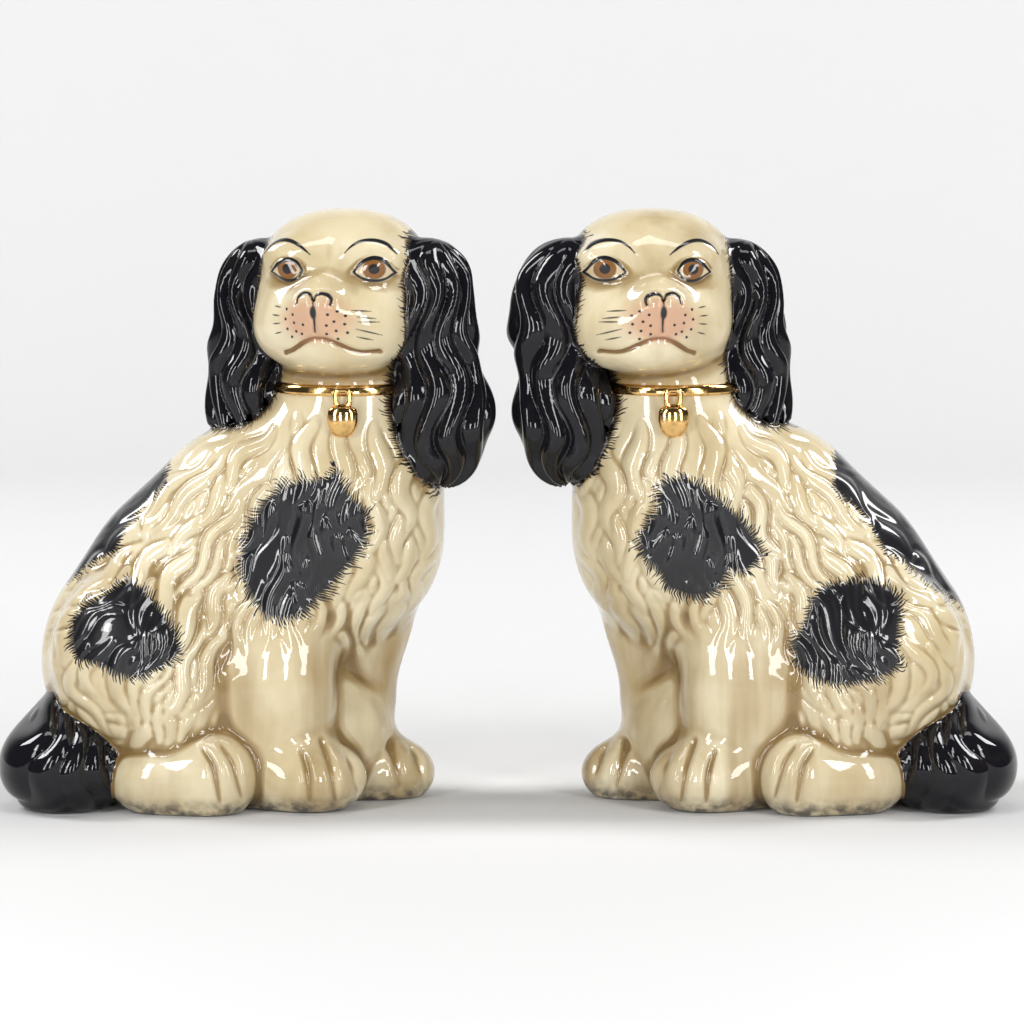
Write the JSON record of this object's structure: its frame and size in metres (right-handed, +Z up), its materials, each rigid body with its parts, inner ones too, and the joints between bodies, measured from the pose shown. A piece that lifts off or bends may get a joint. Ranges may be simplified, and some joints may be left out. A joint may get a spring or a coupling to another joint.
{
  "type": "ceramic dog figurine",
  "caption": "Mirrored seated spaniel mantel figurines in glazed earthenware, with long black ears, painted patches, a gilt collar and a moulded padlock.",
  "frame": {"origin": "on the shelf, under the middle of the pair of dogs", "axes": "+X from the left dog to the right dog, +Y away from the viewer (both faces look towards -Y), +Z up"},
  "size_m": [0.5196, 0.1422, 0.3054],
  "materials": {
    "cream_glaze": "glossy transparent glaze over cream earthenware, with hand-painted black patches",
    "black_glaze": "glossy black enamel over cream earthenware",
    "bare_clay": "unglazed, matt",
    "gilding": "bright gold lustre on moulded earthenware"
  },
  "bodies": {
    "left_dog": {"left_body_shell": "cream_glaze", "left_head_shell": "cream_glaze", "left_near_haunch": "cream_glaze", "left_far_haunch": "cream_glaze", "left_near_hind_paw": "cream_glaze", "left_far_hind_paw": "cream_glaze", "left_near_foreleg": "cream_glaze", "left_far_foreleg": "cream_glaze", "left_tail": "black_glaze", "left_ear_over_back": "black_glaze", "left_ear_over_chest": "black_glaze", "left_base_slab": "bare_clay", "left_collar_band": "gilding", "left_padlock": "gilding", "left_padlock_shackle": "gilding"},
    "right_dog": {"right_body_shell": "cream_glaze", "right_head_shell": "cream_glaze", "right_near_haunch": "cream_glaze", "right_far_haunch": "cream_glaze", "right_near_hind_paw": "cream_glaze", "right_far_hind_paw": "cream_glaze", "right_near_foreleg": "cream_glaze", "right_far_foreleg": "cream_glaze", "right_tail": "black_glaze", "right_ear_over_back": "black_glaze", "right_ear_over_chest": "black_glaze", "right_base_slab": "bare_clay", "right_collar_band": "gilding", "right_padlock": "gilding", "right_padlock_shackle": "gilding"}
  },
  "joints": [
    {"name": "pair_spacing", "type": "slide", "parent": "left_dog", "child": "right_dog", "axis": [1, 0, 0], "range_m": [-0.008, 0.2]}
  ]
}
